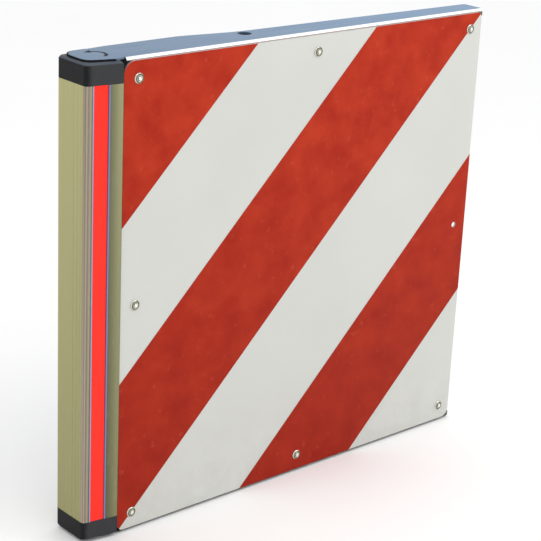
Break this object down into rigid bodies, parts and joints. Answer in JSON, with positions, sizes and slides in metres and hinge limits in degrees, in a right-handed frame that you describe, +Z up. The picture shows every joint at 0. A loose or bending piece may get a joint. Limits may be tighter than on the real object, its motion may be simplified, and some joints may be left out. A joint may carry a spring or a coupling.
{
  "type": "parking barrier gate leaf",
  "caption": "Striped swing leaf for a parking barrier: capped aluminium post with a red reflector strip, and a tapered open frame that carries a diagonal red and white warning panel.",
  "frame": {"origin": "point on the post's flat left side, level with the pivots and halfway up", "axes": "+X from the post along the closed leaf, +Y behind the panel, +Z up"},
  "size_m": [0.46, 0.0496, 0.429],
  "materials": {
    "anodised": "satin anodised, pale bronze",
    "frame": "satin anodised, cool grey",
    "plate": "mill",
    "black_plastic": "fine grained",
    "nylon": "natural",
    "zinc_steel": "zinc plated",
    "rivet": "bright",
    "white_sheeting": "retroreflective film",
    "red_film": "retroreflective film",
    "red_reflector": "moulded reflector"
  },
  "bodies": {
    "post": {"pivot_bush_bottom": "nylon", "pivot_bush_top": "nylon", "post_cap_bottom": "black_plastic", "post_cap_top": "black_plastic", "post_profile": "anodised", "reflector_strip": "red_reflector"},
    "leaf": {"arm_bottom": "frame", "arm_top": "frame", "block_screw_bottom_1": "zinc_steel", "block_screw_bottom_2": "zinc_steel", "block_screw_top_1": "zinc_steel", "block_screw_top_2": "zinc_steel", "hinge_block_bottom": "black_plastic", "hinge_block_top": "black_plastic", "hinge_stile": "frame", "pivot_pin_bottom": "zinc_steel", "pivot_pin_top": "zinc_steel", "sign_plate": "plate", "sign_rivet_lower_left": "rivet", "sign_rivet_lower_middle": "rivet", "sign_rivet_lower_right": "rivet", "sign_rivet_middle_left": "rivet", "sign_rivet_upper_left": "rivet", "sign_rivet_upper_middle": "rivet", "sign_rivet_upper_right": "rivet", "sign_sheeting": "white_sheeting", "stripe_lower": "red_film", "stripe_middle": "red_film", "stripe_upper": "red_film", "tongue_trim": "black_plastic"}
  },
  "joints": [
    {"name": "leaf_swing", "type": "hinge", "parent": "post", "child": "leaf", "pos_m": [0.0215, 0, 0], "axis": [0, 0, 1], "range_deg": [0, 90]}
  ]
}
